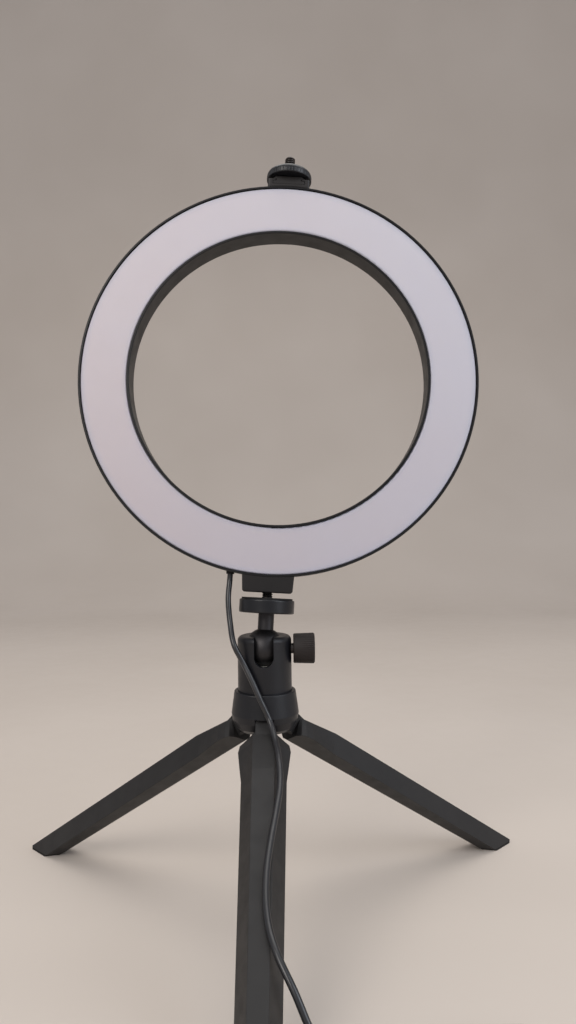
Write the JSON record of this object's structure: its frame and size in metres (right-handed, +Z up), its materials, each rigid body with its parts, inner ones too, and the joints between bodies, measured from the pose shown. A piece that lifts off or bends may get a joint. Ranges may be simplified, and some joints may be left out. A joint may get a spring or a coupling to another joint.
{
  "type": "ring light on folding tripod",
  "caption": "Flat LED ring light with a white diffuser on a ball head and a small folding tripod, with a cold shoe and threaded stud on top and an inline USB controller.",
  "frame": {"origin": "on the table, under the middle of the footprint box; the tripod's axis stands 42 mm behind it", "axes": "+Z up, the lamp faces -Y, +X to the right seen from the front; the front leg points to -Y"},
  "size_m": [0.337, 0.2922, 0.4577],
  "materials": {
    "housing_black": "satin moulded ABS",
    "leg_grey": "fine-grained glass-filled nylon",
    "diffuser_white": "frosted translucent polycarbonate",
    "sheet_white": "white reflective film",
    "board": "white solder mask over FR4",
    "led_warm": "yellow phosphor gel",
    "led_cool": "pale phosphor gel",
    "screw_steel": "zinc plated steel",
    "thread_steel": "blackened steel",
    "ball_metal": "black anodised aluminium",
    "brass": "machined brass",
    "nylon": "natural nylon",
    "plug_metal": "turned aluminium",
    "rubber_black": "matt rubber",
    "cable_black": "glossy PVC jacket",
    "wires": "PVC hook-up wire",
    "controller_black": "fine-grained ABS",
    "button_grey": "smooth silicone",
    "switch": "moulded tact switch",
    "usb_metal": "bright nickel plate",
    "tongue_white": "white LCP",
    "gold": "gold flashed contacts"
  },
  "bodies": {
    "tripod": {"hub": "housing_black", "hinge_pins": "screw_steel", "base_screw": "screw_steel", "friction_washer": "nylon", "lamp_cable": "cable_black", "usb_cable": "cable_black", "controller_bottom": "controller_black", "controller_top": "controller_black", "controller_board": "board", "switches": "switch", "controller_screws": "screw_steel", "strain_reliefs": "rubber_black", "plug_body": "cable_black", "plug_shell": "usb_metal", "plug_tongue": "tongue_white", "plug_contacts": "gold"},
    "leg_front": {"leg_front": "leg_grey", "foot_front": "rubber_black"},
    "leg_left": {"leg_left": "leg_grey", "foot_left": "rubber_black"},
    "leg_right": {"leg_right": "leg_grey", "foot_right": "rubber_black"},
    "head": {"head_housing": "housing_black", "ball_seat": "nylon", "seat_plug": "plug_metal"},
    "knob": {"clamp_knob": "housing_black", "clamp_screw": "thread_steel", "brake_pad": "nylon"},
    "ball": {"ball": "ball_metal"},
    "platform": {"ball_stem": "ball_metal", "platform_disc": "housing_black", "platform_pad": "rubber_black", "light_screw": "thread_steel"},
    "lamp": {"ring_housing": "housing_black", "diffuser": "diffuser_white", "reflector_sheet": "sheet_white", "led_board": "board", "warm_leds": "led_warm", "cool_leds": "led_cool", "housing_screws": "screw_steel", "lead_wires": "wires", "cable_grommet": "rubber_black", "mount_block": "housing_black", "thread_insert": "brass", "block_screws": "screw_steel", "cold_shoe": "housing_black", "shoe_screws": "screw_steel"},
    "adapter": {"adapter_foot": "housing_black", "accessory_stud": "thread_steel"},
    "nut": {"lock_nut": "housing_black"},
    "button_power": {"button_power": "button_grey"},
    "button_brighter": {"button_brighter": "button_grey"},
    "button_dimmer": {"button_dimmer": "button_grey"}
  },
  "joints": [
    {"name": "leg_front_fold", "type": "hinge", "parent": "tripod", "child": "leg_front", "pos_m": [0, 0.03339, 0.113], "axis": [1, 0, 0], "range_deg": [0, 57.2]},
    {"name": "leg_left_fold", "type": "hinge", "parent": "tripod", "child": "leg_left", "pos_m": [-0.01126, 0.05289, 0.113], "axis": [-0.5, -0.866, 0], "range_deg": [0, 57.2]},
    {"name": "leg_right_fold", "type": "hinge", "parent": "tripod", "child": "leg_right", "pos_m": [0.01126, 0.05289, 0.113], "axis": [-0.5, 0.866, 0], "range_deg": [0, 57.2]},
    {"name": "head_pan", "type": "hinge", "parent": "tripod", "child": "head", "pos_m": [0, 0.04639, 0.14], "axis": [0, 0, 1], "range_deg": [-180, 180]},
    {"name": "clamp_turn", "type": "hinge", "parent": "head", "child": "knob", "pos_m": [0.02, 0.04639, 0.1544], "axis": [1, 0, 0], "range_deg": [0, 270]},
    {"name": "ball_lean", "type": "hinge", "parent": "head", "child": "ball", "pos_m": [0, 0.04639, 0.1544], "axis": [0, 1, 0], "range_deg": [-20, 16]},
    {"name": "ball_tilt", "type": "hinge", "parent": "ball", "child": "platform", "pos_m": [0, 0.04639, 0.1544], "axis": [0.998, 0, -0.0628], "range_deg": [-12, 94]},
    {"name": "light_swivel", "type": "hinge", "parent": "platform", "child": "lamp", "pos_m": [0.00212, 0.04983, 0.18816], "axis": [0.0625, 0.1011, 0.9929], "range_deg": [-180, 180], "deforming": ["lamp_cable"]},
    {"name": "adapter_slide", "type": "slide", "parent": "lamp", "child": "adapter", "axis": [0.0063, -0.9949, 0.1009], "range_m": [0, 0.018]},
    {"name": "lock_nut_turn", "type": "hinge", "parent": "adapter", "child": "nut", "pos_m": [0.01825, 0.07591, 0.44443], "axis": [0.0625, 0.1011, 0.9929], "continuous": true},
    {"name": "button_power_press", "type": "slide", "parent": "tripod", "child": "button_power", "axis": [0, 0, -1], "range_m": [0, 0.0006], "stiffness_N_per_m": 800},
    {"name": "button_brighter_press", "type": "slide", "parent": "tripod", "child": "button_brighter", "axis": [0, 0, -1], "range_m": [0, 0.0006], "stiffness_N_per_m": 800},
    {"name": "button_dimmer_press", "type": "slide", "parent": "tripod", "child": "button_dimmer", "axis": [0, 0, -1], "range_m": [0, 0.0006], "stiffness_N_per_m": 800}
  ]
}
